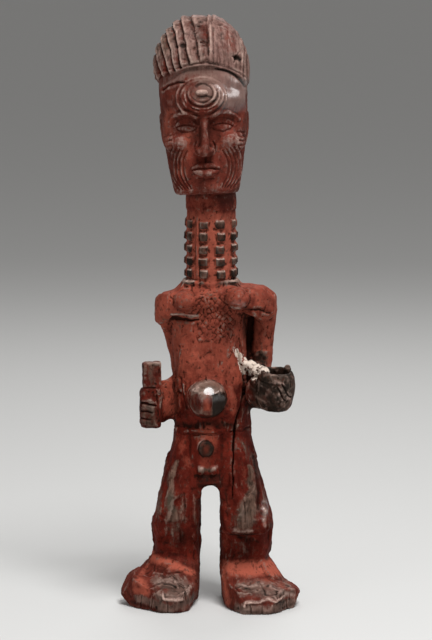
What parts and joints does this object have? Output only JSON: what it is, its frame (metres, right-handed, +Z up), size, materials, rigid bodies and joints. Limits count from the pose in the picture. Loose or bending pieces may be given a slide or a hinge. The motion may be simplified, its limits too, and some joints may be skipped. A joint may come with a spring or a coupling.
{
  "type": "carved wooden figure",
  "caption": "Standing carved wooden figure with a long neck of raised square blocks, a ridged coiffure, a staff in one hand and a small hollow cup in the other.",
  "frame": {"origin": "centre of the footprint box, on the plane of the soles", "axes": "+Z up through the head, -Y the way the figure faces, +X towards the figure's left hand"},
  "size_m": [0.0904, 0.0596, 0.299],
  "materials": {
    "pigmented_wood": "hand-cut hardwood rubbed with red pigment, worn to a smooth grey-brown sheen on the ridges"
  },
  "bodies": {
    "root": {"carved_figure": "pigmented_wood"}
  },
  "joints": []
}
